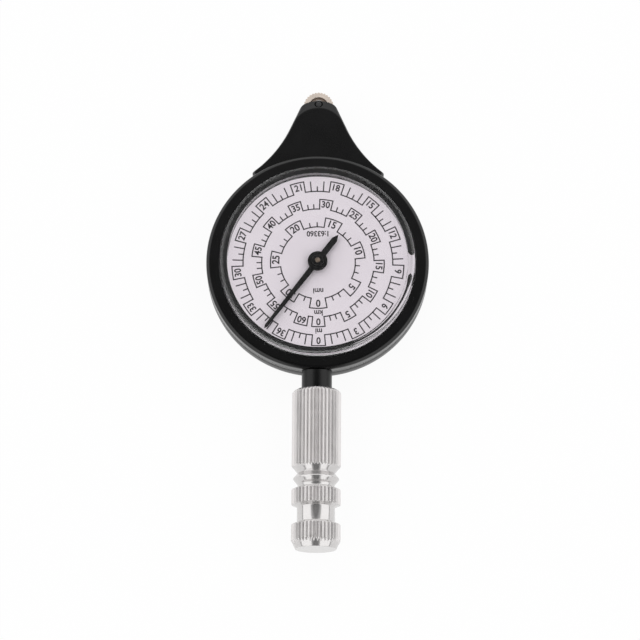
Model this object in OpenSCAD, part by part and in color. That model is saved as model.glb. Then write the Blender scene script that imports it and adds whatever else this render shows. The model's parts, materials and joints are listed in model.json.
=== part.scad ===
// Map measurer: a toothed wheel is rolled along a line on a map and turns a pointer over a dial.
// The flat back lies on z = 0 with the axis of the dial through the origin. +Z faces the reader,
// +Y points to the tracing wheel and the handle hangs towards -Y. All lengths are in millimetres.

/* [Case] */
// Outer diameter of the round case
case_d = 43; // [42:0.1:48]
// Thickness of the side wall of the case
case_wall = 1.4; // [1:0.1:2]
// Thickness of the floor of the case
floor_t = 1; // [1:0.1:2]
// Radius of the rounded edge round the back
back_edge_r = 1.8; // [0.6:0.1:2.4]
// Thickness of the rim of the front cover
cover_t = 0.8; // [0.8:0.1:1.6]
// Height of the round step on the front cover that carries the dial
cover_step_h = 0.9; // [0.9:0.1:1.6]
// Height of the bosses under the first and the second gear
boss_h = 0.4; // [0.4:0.1:1]
// Thickness of the bosses round their pins
boss_wall = 0.6; // [0.4:0.1:1]
// Depth of the gear pins in the floor
pin_sink = 0.6; // [0.4:0.05:0.8]
// Diameter of the screw posts
post_d = 3.4; // [2.6:0.1:4]
// Diameter of the cover screws
screw_d = 1.5; // [1.2:0.1:1.8]
// Diameter of the heads of the cover screws
screw_head_d = 2.8; // [2.4:0.1:3.2]
// Depth of the screw heads below the dial
screw_recess = 0.2; // [0.1:0.05:0.3]
// Length of the cover screws under the head
screw_l = 3.8; // [2.5:0.1:4.4]

/* [Nose] */
// Thickness of the wall along the nose
nose_wall = 1; // [0.8:0.1:1.4]
// Extra thickness of the wall at the end of the nose
nose_end_wall = 2.2; // [1.8:0.1:2.6]
// How far the teeth of the tracing wheel stand out of the nose
wheel_show = 2.04; // [1.4:0.01:2.1]
// How far the corners of the nose stand out beside the tracing wheel
tip_side = 0.82; // [0.6:0.01:1.4]
// Radius of the rounded corners of the nose
tip_corner_r = 2; // [2:0.1:3]
// Rise of the blunt end of the nose between its corners
tip_crown = 0.4; // [0.2:0.05:0.5]
// Angle between the straight flanks of the nose and its centre line
flank_angle = 25; // [20:1:28]
// Length of the straight flanks of the nose
flank_l = 5; // [4:0.1:6]
// Radius of the hollow sweep from the flanks to the shoulders
flare_r = 24; // [18:0.5:30]
// Angle between the shoulders and the centre line where the sweep ends
flare_end = 53; // [46:1:56]
// Thickness of the nose of the front cover
nose_plate_t = 1.6; // [1.3:0.1:2.2]
// Height of the bevel along the front of the nose
bevel_h = 1.1; // [0.6:0.1:1.2]
// Width of the bevel along the flanks of the nose
bevel_w = 0.85; // [0.4:0.05:1.2]
// Extra length of the bevel at the end of the nose
bevel_tip = 1.6; // [0.6:0.1:1.8]

/* [Bezel, crystal and dial] */
// Thickness of the skirt of the bezel ring
bezel_wall = 1.45; // [1:0.05:2]
// Radius of the rounded shoulder of the bezel ring
shoulder_r = 0.75; // [0.5:0.05:1.3]
// How far the lip of the bezel ring reaches over the flange of the crystal
lip_w = 1.18; // [0.8:0.02:1.6]
// Thickness of the lip of the bezel ring
lip_t = 0.45; // [0.4:0.05:0.8]
// Radius of the rounded inner edge of the lip
lip_edge_r = 0.3; // [0.15:0.05:0.35]
// Thickness of the dial
dial_t = 0.3; // [0.2:0.05:0.6]
// Thickness of the flange of the crystal
flange_t = 0.6; // [0.6:0.1:1.2]
// Thickness of the side wall of the crystal
crystal_wall = 1.3; // [0.8:0.1:1.6]
// Thickness of the front of the crystal
crystal_t = 1.1; // [0.8:0.1:1.8]
// Radius of the front edge of the crystal
crystal_edge_r = 0.7; // [0.2:0.05:0.75]

/* [Pointer] */
// Direction of the long arm of the pointer at rest, counted from +X
pointer_rest = 233; // [0:1:359]
// Gap between the tip of the pointer and the wall of the crystal
pointer_tip_gap = 0.6; // [0.5:0.05:3]
// Length of the pointed tail of the pointer
pointer_tail = 6.6; // [4:0.1:8]
// Width of the long arm at the hub
arm_w = 1.17; // [0.8:0.01:1.5]
// Width of the long arm at its tip
arm_tip_w = 0.6; // [0.3:0.05:0.8]
// Thickness of the arms of the pointer
arm_t = 0.4; // [0.3:0.05:0.6]
// Height of the arms above the foot of the hub
arm_rise = 0.1; // [0.05:0.05:0.3]
// Diameter of the disc of the hub of the pointer
hub_d = 3.8; // [3:0.1:4.5]
// Thickness of the disc of the hub
hub_disc_t = 0.6; // [0.55:0.05:0.75]
// Thickness of the collar of the hub round the arbor
collar_wall = 0.4; // [0.3:0.05:0.6]
// Height of the hub of the pointer with its collar
hub_h = 1.1; // [0.8:0.05:1.4]
// Height of the hub above the dial
hub_lift = 0.4; // [0.3:0.05:0.8]
// Space between the hub of the pointer and the crystal
hub_headroom = 0.4; // [0.3:0.05:1]
// How far the end of the centre arbor stands out of the hub
arbor_proud = 0.05; // [0.02:0.01:0.15]

/* [Gear train] */
// Teeth of the tracing wheel
wheel_teeth = 30; // [28:1:32]
// Teeth of the wheel of the first gear
first_teeth = 48; // [46:1:50]
// Teeth of the wheel of the second gear
second_teeth = 45; // [43:1:46]
// Teeth of the gear on the centre arbor
centre_teeth = 76; // [72:1:78]
// Teeth of the pinions
pinion_teeth = 10; // [9:1:11]
// Module of the teeth of the tracing wheel and the first wheel
fine_m = 0.185; // [0.17:0.005:0.19]
// Module of the teeth of the other gears
train_m = 0.3625; // [0.34:0.0025:0.38]
// Thickness of the gears
gear_t = 1; // [0.8:0.1:1.5]
// Space between the two levels of gears
level_gap = 0.4; // [0.4:0.1:1]
// Thickness of the hubs of the first and the second gear round their pins
pin_hub_wall = 0.5; // [0.3:0.05:0.6]
// Thickness of the hub of the centre gear round the arbor
gear_hub_wall = 1.05; // [0.8:0.05:1.5]
// Holes through the web of the centre gear
centre_holes = 6; // [4:1:6]
// Diameter of the holes through the web of the centre gear
centre_hole_d = 5; // [3:0.1:5.5]
// Holes through the web of the second gear
second_holes = 5; // [3:1:6]
// Diameter of the holes through the web of the second gear
second_hole_d = 2.5; // [1.5:0.1:2.8]
// Diameter of the pins that carry the first and the second gear
pin_d = 1.2; // [1:0.05:1.3]
// Diameter of the centre arbor
arbor_d = 1.5; // [1.3:0.05:1.7]
// Diameter of the pivot at the lower end of the centre arbor
pivot_d = 1; // [0.8:0.05:1.1]
// Thickness of the centre bush round the arbor
bush_wall = 0.85; // [0.6:0.05:1.2]
// Width of the flange of the centre bush
bush_flange_w = 0.6; // [0.4:0.05:1]
// Thickness of the flange of the centre bush
bush_flange_t = 0.3; // [0.2:0.05:0.5]
// Length of the rear bush
rear_bush_l = 0.8; // [0.6:0.05:0.9]
// Thickness of the rear bush round the pivot
rear_bush_wall = 0.8; // [0.5:0.05:1.2]
// Thickness of the leaf of the spring washer
spring_t = 0.2; // [0.1:0.05:0.3]
// Width by which the spring washer reaches past the hub of the centre gear
spring_w = 0.4; // [0.2:0.05:0.8]

/* [Tracing wheel] */
// Thickness of the tracing wheel
wheel_t = 1.6; // [1.2:0.1:2]
// Width of the toothed rim of the tracing wheel
wheel_rim_w = 0.88; // [0.5:0.02:0.9]
// Depth of the recess in each face of the tracing wheel
wheel_recess = 0.35; // [0.2:0.05:0.5]
// Thickness of the hub of the tracing wheel round the axle
wheel_hub_wall = 0.6; // [0.45:0.05:0.8]
// Diameter of the axle of the tracing wheel
axle_d = 1.3; // [1:0.05:1.4]
// Length of the axle in the rear case
axle_grip_l = 1.8; // [1.4:0.1:2]
// Depth of the end of the axle below the front of the nose
axle_recess = 0.8; // [0.4:0.05:0.9]
// Thickness of the washers beside the tracing wheel
washer_t = 0.2; // [0.15:0.05:0.3]
// Width of the washers beside the tracing wheel
washer_w = 0.55; // [0.4:0.05:0.8]

/* [Handle] */
// Length of the neck between the case and the handle
neck_l = 3.7; // [3:0.1:7]
// Diameter of the neck
neck_d = 5.8; // [5.2:0.1:6.5]
// Diameter of the spigot that the handle is pressed on
spigot_d = 4.6; // [3.6:0.1:5]
// Length of the spigot
spigot_l = 12; // [8:0.5:13]
// Space in the handle past the end of the spigot
spigot_space = 1; // [0.5:0.1:2]
// Diameter over the ridges of the handle
handle_d = 9.35; // [8.8:0.05:10]
// Height of the handle above the plane of the back
handle_lift = 0.3; // [0.2:0.05:0.6]
// Bevel round the upper face of the handle
top_bevel = 0.5; // [0.2:0.05:0.8]
// Length of the long ridged grip
grip_l = 14.7; // [11:0.1:20]
// Length of the cone from the grip to the first groove
taper_l = 1.4; // [0.8:0.1:2]
// Diameter in the two grooves
groove_d = 7.1; // [6.6:0.05:8]
// Length of each side of the sharp ridge between the grooves
ridge_side_l = 1.1; // [0.8:0.05:1.6]
// Diameter of the sharp ridge
ridge_d = 8.75; // [8.4:0.05:9]
// Length of the flat on the sharp ridge
ridge_flat_l = 0.2; // [0.1:0.05:0.4]
// Length of the floor of the second groove
groove_floor_l = 0.5; // [0.2:0.05:1]
// Length of the ridged band
band_l = 3.3; // [2:0.1:5]
// Length of the slopes beside the band and the knob
step_l = 0.5; // [0.3:0.05:0.7]
// Diameter of the smooth waist between the band and the knob
waist_d = 7.22; // [6.6:0.02:8]
// Length of the smooth waist
waist_l = 2.9; // [2:0.1:5]
// Length of the ridged knob
knob_l = 3; // [2:0.1:5]
// Length of the cone at the end of the knob
end_cone_l = 1.6; // [0.8:0.1:2.2]
// Diameter of the end face of the knob
end_d = 7.82; // [7:0.02:8.6]
// Number of ridges round the handle
ridges = 40; // [30:1:48]
// Depth of the grooves between the ridges
ridge_depth = 0.3; // [0.15:0.05:0.4]
// Height by which the ridges are cut flat
ridge_cut_h = 0.06; // [0.03:0.01:0.1]

/* [Fits] */
// Clearance of a turning part round its pin
run_gap = 0.05; // [0.03:0.01:0.08]
// Clearance of a pressed part in its hole
press_gap = 0.02; // [0.01:0.01:0.04]
// Clearance between parts of the case that slip together
seat_gap = 0.05; // [0.03:0.01:0.1]
// Clearance round the screws in the front cover
screw_gap = 0.1; // [0.05:0.01:0.2]
// Space past the ends of the screws and pins in their holes
hole_end_gap = 0.05; // [0.03:0.01:0.2]
// Clearance of the dial and the crystal inside the bezel ring
dial_gap = 0.1; // [0.05:0.01:0.2]
// Clearance between the crystal and the lip of the bezel ring
crystal_gap = 0.12; // [0.06:0.01:0.25]
// Clearance of the dial round the centre arbor
dial_hole_gap = 0.45; // [0.2:0.05:0.8]
// Clearance of the spring washer round the centre arbor
spring_gap = 0.1; // [0.05:0.01:0.2]
// Clearance round the teeth of the tracing wheel in the nose
wheel_gap = 0.35; // [0.25:0.05:0.5]
// End play of the turning parts
end_float = 0.1; // [0.05:0.01:0.15]
// Play between the teeth of the fine gears
fine_slack = 0.03; // [0.02:0.005:0.05]
// Play between the teeth of the other gears
train_slack = 0.08; // [0.05:0.01:0.1]

/* [Hidden] */
$fn = 96;

// Overrun of a cut past the face that it opens
over = 1;

// Shape of the teeth: involutes, with long pinion teeth and short wheel teeth
pressure_angle = 20;
pinion_shift = 0.4;
tooth_root = 1.25;
flank_steps = 3;

// Heights of the two levels of gears, from the floor of the case upwards
low_z = floor_t + boss_h + end_float;
high_z = low_z + gear_t + level_gap;
high_mid_z = high_z + gear_t / 2;
wheel_z = high_mid_z - wheel_t / 2;
slot_z = wheel_z - washer_t - end_float;
rear_h = high_mid_z + max(gear_t / 2 + bush_flange_t + 2 * end_float, wheel_t / 2 + washer_t + end_float);

// Places of the gear pins and the wheel axle on the centre line of the nose
second_y = train_m * (centre_teeth + pinion_teeth) / 2;
first_y = second_y + train_m * (second_teeth + pinion_teeth) / 2;
axle_y = first_y + fine_m * (first_teeth + wheel_teeth) / 2;
wheel_r = fine_m * (wheel_teeth / 2 + 1);
centre_gear_r = train_m * (centre_teeth / 2 + 1 - pinion_shift);

// Case, front cover and what holds them together
case_r = case_d / 2;
cavity_r = case_r - case_wall;
nose_root_r = cavity_r - back_edge_r;
nose_reach = axle_y + wheel_r;
trim_r = case_r + seat_gap;
pin_foot_z = floor_t - pin_sink;
pin_top_z = rear_h + cover_t - hole_end_gap;
axle_foot_z = slot_z - axle_grip_l;
axle_top_z = rear_h + nose_plate_t - axle_recess;
bevel_z = rear_h + nose_plate_t - bevel_h;
screw_angles = [30, 150, 270];
screw_ring_r = (centre_gear_r + cavity_r) / 2;
screw_seat_z = rear_h + cover_t;
screw_head_h = cover_step_h - screw_recess;

// Bezel ring, dial and crystal
bezel_z = rear_h + cover_t;
skirt_r = case_r - bezel_wall;
step_r = skirt_r - seat_gap;
dial_r = step_r - dial_gap;
dial_z = bezel_z + cover_step_h;
dial_top = dial_z + dial_t;
lip_z = dial_top + flange_t;
lip_r = skirt_r - lip_w;
crystal_r = lip_r - crystal_gap;
crystal_in_r = crystal_r - crystal_wall;

// Centre arbor and pointer
bush_r = arbor_d / 2 + bush_wall;
gear_hub_r = arbor_d / 2 + gear_hub_wall;
pin_hub_r = pin_d / 2 + pin_hub_wall;
rear_bush_z = floor_t - rear_bush_l;
rear_bush_r = pivot_d / 2 + rear_bush_wall;
hub_z = dial_top + hub_lift;
arm_z = hub_z + arm_rise;
hub_top = hub_z + hub_h;
crystal_in_z = hub_top + hub_headroom;
crystal_top = crystal_in_z + crystal_t;
pointer_l = crystal_in_r - pointer_tip_gap;

// Stations along the handle, counted from its upper face
handle_r = handle_d / 2;
handle_z = handle_r + handle_lift;
neck_end = case_r + neck_l;
groove_s = grip_l + taper_l;
crest_s = groove_s + ridge_side_l;
second_groove_s = crest_s + ridge_side_l;
band_s = second_groove_s + groove_floor_l;
waist_s = band_s + band_l + step_l;
knob_s = waist_s + waist_l;
end_cone_s = knob_s + step_l + knob_l;
handle_l = end_cone_s + end_cone_l;

// Points of an arc of radius r about c, from angle a0 to a1 in n steps
function arc(c, r, a0, a1, n) =
    [for (i = [0:n]) c + r * [cos(a0 + (a1 - a0) * i / n), sin(a0 + (a1 - a0) * i / n)]];

// All points of a list but the first
function rest(points) = [for (i = [1:len(points) - 1]) points[i]];

// Right half of the outline of the nose, from its blunt end to a point inside the round case.
// inset moves the whole edge inwards, and retreat draws the blunt end back along the flanks.
function nose_half(inset, retreat) =
    let (along = [sin(flank_angle), -cos(flank_angle)],
         out = [cos(flank_angle), sin(flank_angle)],
         corner_x = wheel_r + tip_side - tip_corner_r,
         corner_y = axle_y + wheel_r - wheel_show - tip_crown - tip_corner_r,
         corner = [corner_x, corner_y] + retreat * along,
         crown_r = (corner.x ^ 2 + 2 * tip_corner_r * tip_crown + tip_crown ^ 2) / (2 * tip_crown),
         crown = [0, corner.y + tip_corner_r + tip_crown - crown_r],
         meet = atan2(corner.y - crown.y, corner.x),
         flank = [corner_x, corner_y] + tip_corner_r * out + flank_l * along,
         flare_last = flare_end - inset / flare_r * 180 / PI,
         flare = arc(flank + flare_r * out, -(flare_r + inset), flank_angle, flare_last, 12),
         shoulder = flare[12])
    concat(arc(crown, crown_r - inset, 90, meet, 4),
           rest(arc(corner, tip_corner_r - inset, meet, flank_angle, 8)),
           flare,
           [shoulder * nose_root_r / norm(shoulder)]);

// Whole outline of the nose, down its right side and up its left side
function nose_outline(inset, retreat) =
    let (half = nose_half(inset, retreat))
    concat(half, [for (i = [len(half) - 1:-1:1]) [-half[i].x, half[i].y]]);

// Solid between outlines of the nose, each given as [height, inset, retreat]
module nose_loft(levels) {
    rings = [for (level = levels) nose_outline(level[1], level[2])];
    n = len(rings[0]);
    last = len(levels) - 1;
    points = [for (k = [0:last], p = rings[k]) [p.x, p.y, levels[k][0]]];
    sides = [
        for (k = [0:last - 1], i = [0:n - 1])
            let (a = k * n + i, b = k * n + (i + 1) % n)
            each [[a, b, b + n], [a, b + n, a + n]]
    ];
    foot = [for (i = [n - 1:-1:0]) i];
    head = [for (i = [0:n - 1]) last * n + i];
    polyhedron(points, concat(sides, [foot, head]));
}

// Outline of an involute gear with a tooth on +X
function involute_deg(a) = tan(a) * 180 / PI - a;
function gear_outline(teeth, m, shift, slack) =
    let (r = m * teeth / 2,
         base_r = r * cos(pressure_angle),
         tip_r = r + m * (1 + shift),
         root = r - m * (tooth_root - shift),
         flank_r = max(base_r, root),
         pitch_half = (m * (PI / 2 + 2 * shift * tan(pressure_angle)) - slack) / (2 * r) * 180 / PI,
         radii = concat(root < base_r ? [root] : [],
                        [for (i = [0:flank_steps]) flank_r + (tip_r - flank_r) * i / flank_steps]),
         halves = [for (q = radii) pitch_half + involute_deg(pressure_angle)
                                   - involute_deg(acos(min(1, base_r / q)))],
         last = len(radii) - 1)
    [
        for (t = [0:teeth - 1])
            let (mid = t * 360 / teeth)
            each concat(
                [for (i = [0:last]) radii[i] * [cos(mid - halves[i]), sin(mid - halves[i])]],
                [for (i = [last:-1:0]) radii[i] * [cos(mid + halves[i]), sin(mid + halves[i])]])
    ];

// Angles that let two gears mesh on the centre line: a tooth of the upper one points down
// into a gap of the lower one
function upper_phase() = -90;
function lower_phase(teeth) = 90 + 180 / teeth;

module gear(teeth, m, shift, slack, phase, h) {
    rotate(phase)
        linear_extrude(h)
            polygon(gear_outline(teeth, m, shift, slack));
}

// Wheel of the slow end of the train, driven by the pinion above it
module wheel_gear(teeth) {
    gear(teeth, train_m, -pinion_shift, train_slack, lower_phase(teeth), gear_t);
}

// Pinion of length l that drives the wheel below it
module pinion(l) {
    gear(pinion_teeth, train_m, pinion_shift, train_slack, upper_phase(), l);
}

// Round holes through the web of a gear of thickness gear_t, midway between its hub and its rim
module web_holes(n, hub_r, rim_r, d) {
    for (i = [0:n - 1])
        rotate(i * 360 / n)
            translate([(hub_r + rim_r) / 2, 0, -over])
                cylinder(d = d, h = gear_t + 2 * over);
}

// Places the children once at each cover screw
module at_screws() {
    for (a = screw_angles)
        rotate(a)
            translate([screw_ring_r, 0, 0])
                children();
}

// Places the children once at each gear pin
module at_pins() {
    for (y = [first_y, second_y])
        translate([0, y, 0])
            children();
}

// Rear half of the case with the neck and the spigot for the handle
module rear_case() {
    color("#1c1c1e")
        difference() {
            union() {
                difference() {
                    union() {
                        rear_disc();
                        rear_nose();
                        neck();
                    }
                    translate([0, 0, floor_t])
                        cylinder(r = cavity_r, h = rear_h);
                    translate([0, 0, floor_t])
                        linear_extrude(rear_h)
                            polygon(nose_outline(nose_wall, nose_end_wall));
                    translate([0, axle_y, slot_z])
                        cylinder(r = wheel_r + wheel_gap, h = rear_h);
                }
                at_screws()
                    translate([0, 0, floor_t / 2])
                        cylinder(d = post_d, h = rear_h - floor_t / 2);
                at_pins()
                    translate([0, 0, floor_t / 2])
                        cylinder(r = pin_d / 2 + boss_wall, h = floor_t / 2 + boss_h);
            }
            translate([0, 0, rear_h])
                cylinder(r = trim_r, h = handle_d + handle_lift);
            at_screws()
                translate([0, 0, screw_seat_z - screw_l - hole_end_gap])
                    cylinder(d = screw_d + 2 * press_gap, h = screw_l + over);
            at_pins()
                translate([0, 0, pin_foot_z])
                    cylinder(d = pin_d + 2 * press_gap, h = rear_h);
            translate([0, axle_y, axle_foot_z])
                cylinder(d = axle_d + 2 * press_gap, h = rear_h);
            translate([0, 0, rear_bush_z])
                cylinder(r = rear_bush_r + press_gap, h = rear_bush_l + over);
        }
}

// Solid disc of the rear case with its rounded back edge
module rear_disc() {
    rotate_extrude() {
        square([case_r - back_edge_r, rear_h]);
        translate([0, back_edge_r])
            square([case_r, rear_h - back_edge_r]);
        translate([case_r - back_edge_r, back_edge_r])
            circle(r = back_edge_r);
    }
}

// Nose of the rear case with its rounded back edge, cut off level with the rim
module rear_nose() {
    difference() {
        nose_loft(concat(
            [for (a = [0:22.5:90])
                [back_edge_r * (1 - cos(a)), back_edge_r * (1 - sin(a)), 0]],
            [[rear_h + over, 0, 0]]));
        translate([0, 0, rear_h])
            cylinder(r = nose_reach, h = 2 * over);
    }
}

// Neck that grows out of the wall of the case, and the thinner spigot at its end
module neck() {
    root = cavity_r + case_wall / 2;
    translate([0, -root, handle_z])
        rotate([90, 0, 0]) {
            cylinder(d = neck_d, h = neck_end - root);
            cylinder(d = spigot_d, h = neck_end - root + spigot_l);
        }
}

// Front half of the case: rim, step under the dial and bevelled nose
module front_cover() {
    color("#1c1c1e")
        difference() {
            union() {
                translate([0, 0, rear_h])
                    cylinder(r = case_r, h = cover_t);
                translate([0, 0, rear_h])
                    cylinder(r = step_r, h = cover_t + cover_step_h);
                cover_nose();
            }
            at_screws() {
                cylinder(d = screw_d + 2 * screw_gap, h = dial_top);
                translate([0, 0, screw_seat_z])
                    cylinder(d = screw_head_d + 2 * screw_gap, h = cover_step_h + over);
            }
            at_pins()
                translate([0, 0, rear_h - over])
                    cylinder(d = pin_d + 2 * press_gap, h = over + cover_t);
            translate([0, axle_y, rear_h - over])
                cylinder(d = axle_d + 2 * press_gap, h = nose_plate_t + 2 * over);
            translate([0, 0, rear_h - over])
                cylinder(r = bush_r + press_gap, h = cover_t + cover_step_h + 2 * over);
        }
}

// Bevelled nose of the front cover, cut off level with the rear case and round the bezel ring
module cover_nose() {
    difference() {
        nose_loft([
            [rear_h - over, 0, 0],
            [bevel_z, 0, 0],
            [bevel_z + bevel_h, bevel_w, bevel_tip],
        ]);
        translate([0, 0, rear_h - 2 * over])
            cylinder(r = nose_reach, h = 2 * over);
        translate([0, 0, bezel_z])
            cylinder(r = trim_r, h = nose_plate_t);
    }
}

// Three screws that hold the front cover on the posts, hidden under the dial
module cover_screws() {
    cross_l = screw_head_d * 0.6;
    cross_w = screw_head_d * 0.14;
    color("silver")
        at_screws()
            difference() {
                union() {
                    translate([0, 0, screw_seat_z - screw_l])
                        cylinder(d = screw_d, h = screw_l + screw_head_h / 2);
                    translate([0, 0, screw_seat_z])
                        cylinder(d = screw_head_d, h = screw_head_h);
                }
                for (a = [0, 90])
                    translate([0, 0, screw_seat_z + screw_head_h])
                        rotate(a)
                            cube([cross_l, cross_w, screw_head_h], center = true);
            }
}

// Ring with a flat front and a rounded shoulder that holds down the flange of the crystal
module bezel_ring() {
    front_z = lip_z + lip_t;
    color("#19191b")
        rotate_extrude()
            polygon(concat(
                [[skirt_r, bezel_z], [case_r, bezel_z]],
                arc([case_r - shoulder_r, front_z - shoulder_r], shoulder_r, 0, 90, 12),
                arc([lip_r + lip_edge_r, front_z - lip_edge_r], lip_edge_r, 90, 180, 6),
                [[lip_r, lip_z], [skirt_r, lip_z]]));
}

// Clear window: a flange under the bezel ring and a flat front that stands out of it
module crystal() {
    color("lightcyan", 0.3)
        rotate_extrude()
            polygon(concat(
                [[crystal_in_r, dial_top], [dial_r, dial_top], [dial_r, lip_z], [crystal_r, lip_z]],
                arc([crystal_r - crystal_edge_r, crystal_top - crystal_edge_r], crystal_edge_r, 0, 90, 8),
                [[0, crystal_top], [0, crystal_in_z], [crystal_in_r, crystal_in_z]]));
}

// Printed disc with a hole for the centre arbor
module dial() {
    color("#e6e2ea")
        translate([0, 0, dial_z])
            difference() {
                cylinder(r = dial_r, h = dial_t);
                translate([0, 0, -over])
                    cylinder(r = arbor_d / 2 + dial_hole_gap, h = dial_t + 2 * over);
            }
}

// Pointer with a collared hub, a long tapering arm and a pointed tail
module pointer() {
    color("#161617")
        rotate(pointer_rest)
            difference() {
                union() {
                    translate([0, 0, hub_z])
                        cylinder(d = hub_d, h = hub_disc_t);
                    translate([0, 0, hub_z])
                        cylinder(d = arbor_d + 2 * collar_wall, h = hub_h);
                    translate([0, 0, arm_z])
                        linear_extrude(arm_t)
                            polygon([
                                [-pointer_tail, 0],
                                [-pointer_tail + arm_w, -arm_w / 2],
                                [0, -arm_w / 2],
                                [pointer_l - arm_tip_w, -arm_tip_w / 2],
                                [pointer_l, 0],
                                [pointer_l - arm_tip_w, arm_tip_w / 2],
                                [0, arm_w / 2],
                                [-pointer_tail + arm_w, arm_w / 2],
                            ]);
                }
                translate([0, 0, hub_z - over])
                    cylinder(d = arbor_d + 2 * press_gap, h = hub_h + 2 * over);
            }
}

// Arbor that carries the centre gear and the pointer, with a thin pivot at its lower end
module centre_arbor() {
    shoulder_z = floor_t + end_float / 2;
    color("#b08d57") {
        translate([0, 0, rear_bush_z + end_float / 2])
            cylinder(d = pivot_d, h = shoulder_z - rear_bush_z);
        translate([0, 0, shoulder_z])
            cylinder(d = arbor_d, h = hub_top + arbor_proud - shoulder_z);
    }
}

// Large gear on the centre arbor, with a long hub down to the spring washer
module centre_gear() {
    rim_r = train_m * (centre_teeth / 2 - tooth_root - pinion_shift);
    color("ivory")
        difference() {
            union() {
                translate([0, 0, high_z])
                    wheel_gear(centre_teeth);
                translate([0, 0, low_z])
                    cylinder(r = gear_hub_r, h = high_z + gear_t + end_float - low_z);
            }
            translate([0, 0, low_z - over])
                cylinder(d = arbor_d + 2 * press_gap, h = high_z + gear_t + 2 * over);
            translate([0, 0, high_z])
                web_holes(centre_holes, gear_hub_r, rim_r, centre_hole_d);
        }
}

// Flanged bush in the front cover that guides the centre arbor
module centre_bush() {
    bush_l = cover_t + cover_step_h;
    color("#c8a25a")
        difference() {
            union() {
                translate([0, 0, rear_h])
                    cylinder(r = bush_r, h = bush_l);
                translate([0, 0, rear_h - bush_flange_t])
                    cylinder(r = bush_r + bush_flange_w, h = bush_flange_t);
            }
            translate([0, 0, rear_h - bush_flange_t - over])
                cylinder(d = arbor_d + 2 * run_gap, h = bush_l + bush_flange_t + 2 * over);
        }
}

// Plain bush in the floor of the case for the pivot of the centre arbor
module rear_bush() {
    color("#c8a25a")
        translate([0, 0, rear_bush_z])
            difference() {
                cylinder(r = rear_bush_r, h = rear_bush_l);
                translate([0, 0, -over])
                    cylinder(d = pivot_d + 2 * run_gap, h = rear_bush_l + 2 * over);
            }
}

// Dished washer that takes up the end play of the centre arbor
module spring_washer() {
    hole_r = arbor_d / 2 + spring_gap;
    edge_r = gear_hub_r + spring_w;
    crest_z = low_z - end_float / 2;
    color("#9a9a96")
        rotate_extrude()
            polygon([
                [edge_r, floor_t],
                [edge_r, floor_t + spring_t],
                [hole_r, crest_z],
                [hole_r, crest_z - spring_t],
            ]);
}

// Gear driven by the tracing wheel: fine wheel above, pinion below
module first_gear() {
    color("gainsboro")
        translate([0, first_y, 0])
            difference() {
                union() {
                    translate([0, 0, high_z])
                        gear(first_teeth, fine_m, 0, fine_slack, lower_phase(first_teeth), gear_t);
                    translate([0, 0, low_z])
                        pinion(high_z - low_z);
                    translate([0, 0, high_z])
                        cylinder(r = pin_hub_r, h = rear_h - end_float - high_z);
                }
                pin_bore();
            }
}

// Gear between the first gear and the centre gear: wheel below, pinion above
module second_gear() {
    rim_r = train_m * (second_teeth / 2 - tooth_root - pinion_shift);
    pinion_z = low_z + gear_t;
    pinion_l = high_z + gear_t - pinion_z;
    color("gainsboro")
        translate([0, second_y, 0])
            difference() {
                union() {
                    translate([0, 0, low_z])
                        wheel_gear(second_teeth);
                    translate([0, 0, pinion_z])
                        pinion(pinion_l);
                    translate([0, 0, low_z])
                        cylinder(r = pin_hub_r, h = rear_h - end_float - low_z);
                }
                pin_bore();
                translate([0, 0, low_z])
                    web_holes(second_holes, train_m * pinion_teeth / 2, rim_r, second_hole_d);
            }
}

// Bore of a gear that turns on a pin
module pin_bore() {
    translate([0, 0, low_z - over])
        cylinder(d = pin_d + 2 * run_gap, h = rear_h + 2 * over);
}

// Pin between the floor of the case and the front cover
module gear_pin() {
    color("silver")
        translate([0, 0, pin_foot_z])
            cylinder(d = pin_d, h = pin_top_z - pin_foot_z);
}

module first_gear_pin() {
    translate([0, first_y, 0])
        gear_pin();
}

module second_gear_pin() {
    translate([0, second_y, 0])
        gear_pin();
}

// Toothed wheel that rolls along the map, with a ring-shaped recess in each face
module tracing_wheel() {
    color("#b9a48c")
        translate([0, axle_y, wheel_z])
            difference() {
                gear(wheel_teeth, fine_m, 0, fine_slack, upper_phase(), wheel_t);
                translate([0, 0, -over])
                    cylinder(d = axle_d + 2 * run_gap, h = wheel_t + 2 * over);
                for (z = [-over, wheel_t - wheel_recess])
                    translate([0, 0, z])
                        difference() {
                            cylinder(r = wheel_r - wheel_rim_w, h = wheel_recess + over);
                            translate([0, 0, -over])
                                cylinder(r = axle_d / 2 + wheel_hub_wall, h = wheel_recess + 3 * over);
                        }
            }
}

// Fixed axle of the tracing wheel, whose end shows in the bevel of the nose
module wheel_axle() {
    color("#3a3a3c")
        translate([0, axle_y, axle_foot_z])
            cylinder(d = axle_d, h = axle_top_z - axle_foot_z);
}

// Two washers on the axle, below and above the tracing wheel
module wheel_washers() {
    color("silver")
        for (z = [slot_z, rear_h - washer_t])
            translate([0, axle_y, z])
                difference() {
                    cylinder(r = axle_d / 2 + washer_w, h = washer_t);
                    translate([0, 0, -over])
                        cylinder(d = axle_d + 2 * press_gap, h = washer_t + 2 * over);
                }
}

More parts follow.
